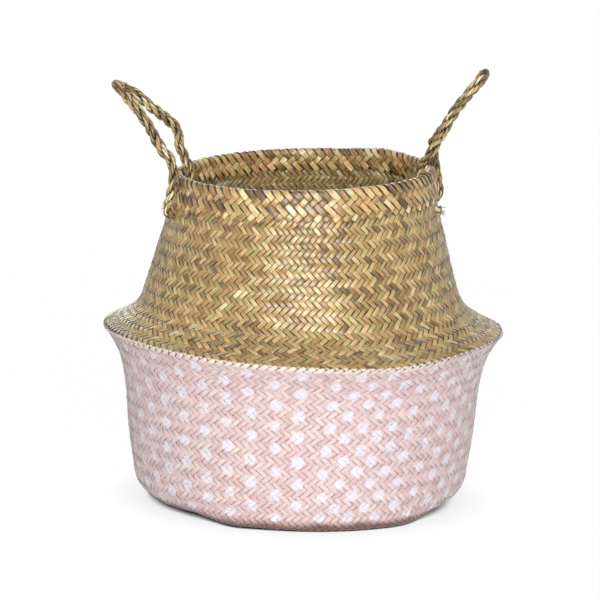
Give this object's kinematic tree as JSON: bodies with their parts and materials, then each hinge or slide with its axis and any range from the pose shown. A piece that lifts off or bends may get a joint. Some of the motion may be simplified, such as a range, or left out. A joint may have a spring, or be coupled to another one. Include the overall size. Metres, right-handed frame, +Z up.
{
  "type": "seagrass basket",
  "caption": "Woven seagrass belly basket, half folded: wide painted belly below a sharp fold, bell-shaped natural neck, folded hem and rope handles.",
  "frame": {"origin": "middle of the flat resting face under the base", "axes": "+Z up; the two handles stand on the -X and +X sides; the front faces -Y"},
  "size_m": [0.35, 0.35, 0.3836],
  "materials": {
    "natural_weave": "split seagrass, natural, slightly glossy",
    "hem_weave": "wider split seagrass strands, natural",
    "painted_weave": "split seagrass painted pale pink with white dots, matt",
    "base_weave": "split seagrass, natural, dull",
    "rope": "twisted seagrass rope"
  },
  "bodies": {
    "belly": {"base_mat": "base_weave", "heel_ring": "painted_weave", "lower_wall": "painted_weave", "fold_edge": "painted_weave", "shoulder": "natural_weave"},
    "neck": {"neck_wall": "natural_weave", "hem_outer": "hem_weave", "hem_inner": "hem_weave", "rim_edge": "hem_weave", "handle_left_outer_foot": "rope", "handle_left_inner_foot": "rope", "handle_left_outer_bend": "rope", "handle_left_inner_bend": "rope", "handle_right_outer_foot": "rope", "handle_right_inner_foot": "rope", "handle_right_outer_bend": "rope", "handle_right_inner_bend": "rope"},
    "handle_left": {"handle_left_loop": "rope"},
    "handle_right": {"handle_right_loop": "rope"}
  },
  "joints": [
    {"name": "neck_slide", "type": "slide", "parent": "belly", "child": "neck", "axis": [0, 0, 1], "range_m": [-0.092, 0], "deforming": ["shoulder"]},
    {"name": "handle_left_swing", "type": "hinge", "parent": "neck", "child": "handle_left", "pos_m": [-0.10688, 0, 0.29115], "axis": [0, -1, 0], "range_deg": [-79.8, 20.2], "deforming": ["handle_left_outer_bend", "handle_left_inner_bend"]},
    {"name": "handle_right_swing", "type": "hinge", "parent": "neck", "child": "handle_right", "pos_m": [0.10688, 0, 0.29115], "axis": [0, 1, 0], "range_deg": [-67.4, 32.6], "deforming": ["handle_right_outer_bend", "handle_right_inner_bend"]}
  ]
}
